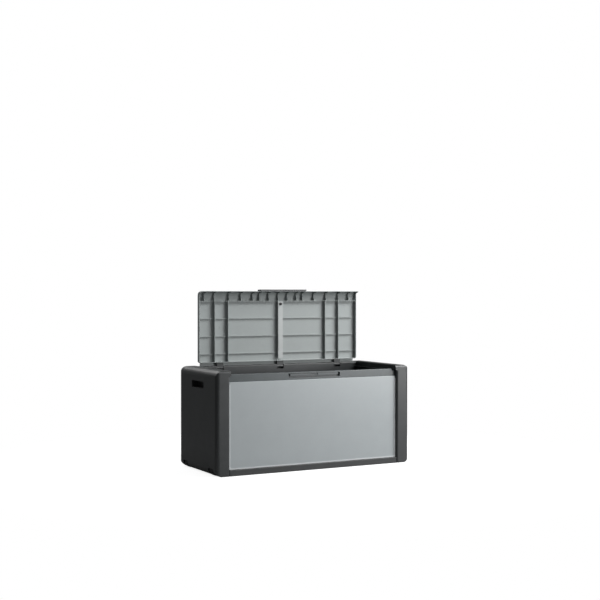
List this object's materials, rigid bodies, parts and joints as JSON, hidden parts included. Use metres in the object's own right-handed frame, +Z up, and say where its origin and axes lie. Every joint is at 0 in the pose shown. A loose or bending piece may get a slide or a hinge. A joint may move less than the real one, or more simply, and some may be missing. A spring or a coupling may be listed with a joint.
{
  "type": "deck storage box",
  "caption": "Outdoor storage box with moulded end panels, a recessed front panel, an open hinged lid with a pull tab, hand holes and wheels at one end.",
  "frame": {"origin": "centre of the footprint on the floor, with the lid open", "axes": "+Z up, +X along the length towards the end without wheels, -Y towards the front"},
  "size_m": [1.2, 0.49, 0.984],
  "materials": {
    "base_plastic": "fine moulded grain",
    "fascia_plastic": "smooth satin panel",
    "front_wall_plastic": "fine moulded grain",
    "keeper_plastic": "satin",
    "left_end_plastic": "fine moulded grain",
    "right_end_plastic": "fine moulded grain",
    "left_panel_plastic": "matte",
    "right_panel_plastic": "matte",
    "left_cup_plastic": "matte",
    "right_cup_plastic": "matte",
    "rear_wall_plastic": "matte",
    "rear_rail_plastic": "fine moulded grain",
    "lid_plastic": "satin",
    "beam_plastic": "satin",
    "boss_plastic": "matte",
    "tab_plastic": "satin",
    "hinge_arm_plastic_left": "satin",
    "hinge_pin_steel_left": "zinc plated",
    "hinge_arm_plastic_centre": "satin",
    "hinge_pin_steel_centre": "zinc plated",
    "hinge_arm_plastic_right": "satin",
    "hinge_pin_steel_right": "zinc plated",
    "hinge_screw_1_steel": "zinc plated",
    "hinge_screw_2_steel": "zinc plated",
    "hinge_screw_3_steel": "zinc plated",
    "hinge_screw_4_steel": "zinc plated",
    "hinge_screw_5_steel": "zinc plated",
    "hinge_screw_6_steel": "zinc plated",
    "wheel_bracket_plastic_front": "matte",
    "wheel_plastic_front": "matte, slightly worn tread",
    "axle_steel_front": "zinc plated",
    "wheel_bracket_plastic_rear": "matte",
    "wheel_plastic_rear": "matte, slightly worn tread",
    "axle_steel_rear": "zinc plated"
  },
  "bodies": {
    "box": {"base_tray": "base_plastic", "front_fascia": "fascia_plastic", "front_wall": "front_wall_plastic", "latch_keeper": "keeper_plastic", "left_end_shell": "left_end_plastic", "right_end_shell": "right_end_plastic", "left_inner_panel": "left_panel_plastic", "right_inner_panel": "right_panel_plastic", "left_hand_cup": "left_cup_plastic", "right_hand_cup": "right_cup_plastic", "rear_wall": "rear_wall_plastic", "rear_rail": "rear_rail_plastic", "hinge_pin_left": "hinge_pin_steel_left", "hinge_pin_centre": "hinge_pin_steel_centre", "hinge_pin_right": "hinge_pin_steel_right", "wheel_bracket_front": "wheel_bracket_plastic_front", "wheel_axle_front": "axle_steel_front", "wheel_bracket_rear": "wheel_bracket_plastic_rear", "wheel_axle_rear": "axle_steel_rear"},
    "lid": {"lid_shell": "lid_plastic", "lid_centre_beam": "beam_plastic", "lid_lock_boss": "boss_plastic", "handle_tab": "tab_plastic", "hinge_arm_left": "hinge_arm_plastic_left", "hinge_arm_centre": "hinge_arm_plastic_centre", "hinge_arm_right": "hinge_arm_plastic_right", "hinge_screw_1": "hinge_screw_1_steel", "hinge_screw_2": "hinge_screw_2_steel", "hinge_screw_3": "hinge_screw_3_steel", "hinge_screw_4": "hinge_screw_4_steel", "hinge_screw_5": "hinge_screw_5_steel", "hinge_screw_6": "hinge_screw_6_steel"},
    "wheel_front": {"wheel_front": "wheel_plastic_front"},
    "wheel_rear": {"wheel_rear": "wheel_plastic_rear"}
  },
  "joints": [
    {"name": "lid_hinge", "type": "hinge", "parent": "box", "child": "lid", "pos_m": [0, 0.1985, 0.5415], "axis": [1, 0, 0], "range_deg": [0, 90]},
    {"name": "wheel_front_spin", "type": "hinge", "parent": "box", "child": "wheel_front", "pos_m": [-0.569, -0.1695, 0.0285], "axis": [0, 1, 0], "continuous": true},
    {"name": "wheel_rear_spin", "type": "hinge", "parent": "box", "child": "wheel_rear", "pos_m": [-0.569, 0.1695, 0.0285], "axis": [0, 1, 0], "continuous": true}
  ]
}
